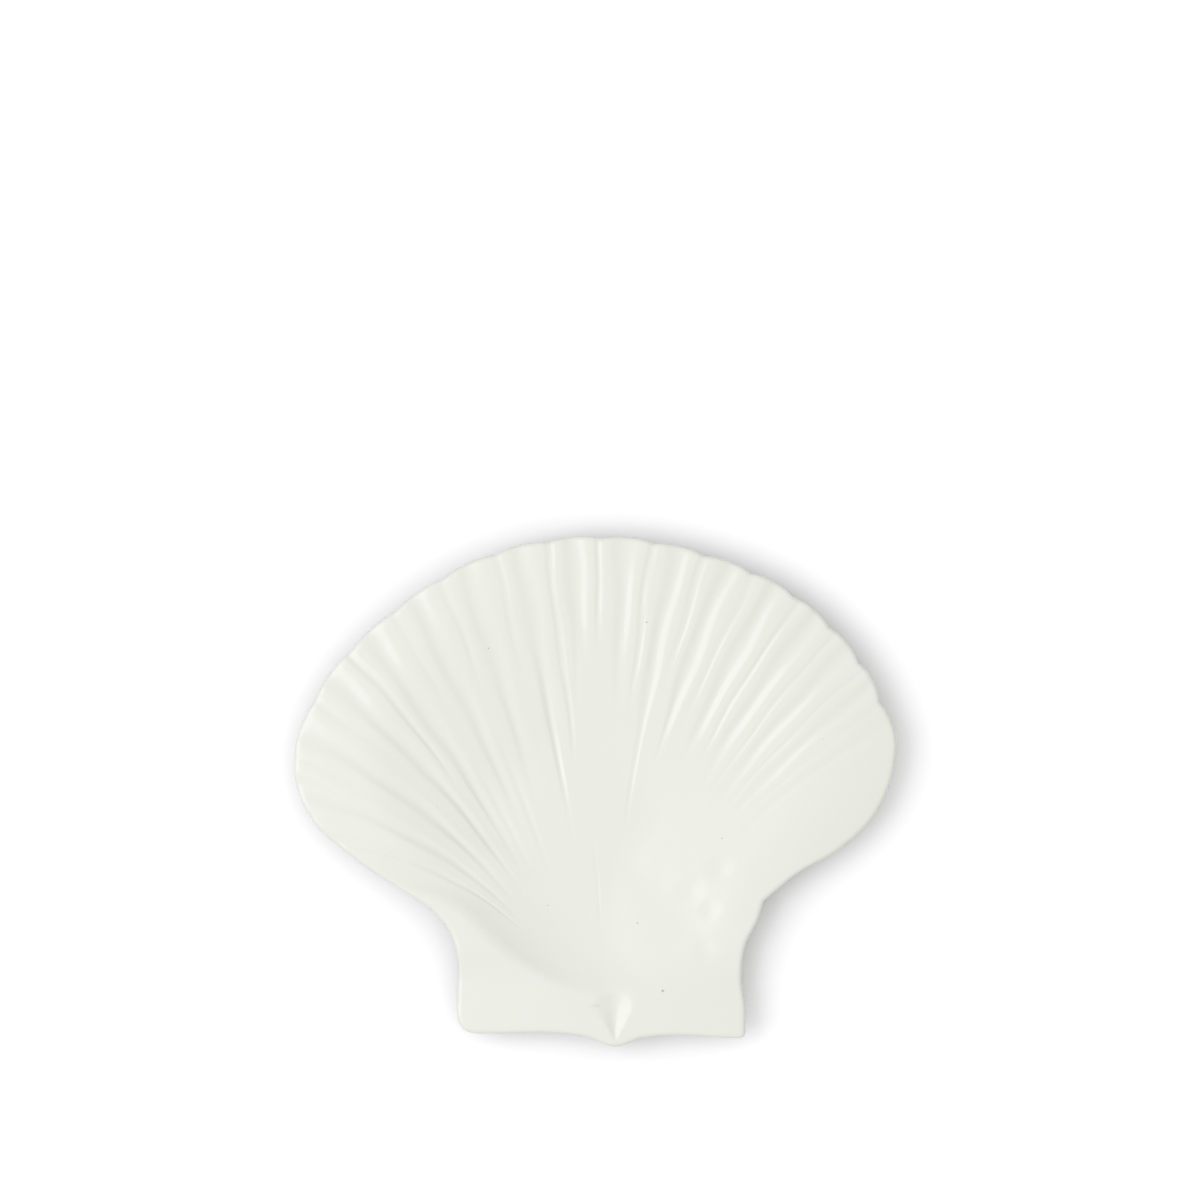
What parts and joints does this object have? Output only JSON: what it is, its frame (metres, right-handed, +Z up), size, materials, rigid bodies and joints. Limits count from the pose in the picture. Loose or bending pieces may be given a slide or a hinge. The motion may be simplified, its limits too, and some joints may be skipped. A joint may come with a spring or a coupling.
{
  "type": "shell-shaped platter",
  "caption": "Shallow scallop-shell serving platter in white glazed ceramic, with fanned ribs, two hinge ears, a small beak with a pocket and an oval foot ring.",
  "frame": {"origin": "on the table, under the middle of the outline's length and width", "axes": "+X runs across the fan to the right, +Y from the hinge to the top of the fan, +Z up out of the bowl"},
  "size_m": [0.2999, 0.2538, 0.02],
  "materials": {
    "glaze": "glossy white glaze"
  },
  "bodies": {
    "root": {"platter": "glaze"}
  },
  "joints": []
}
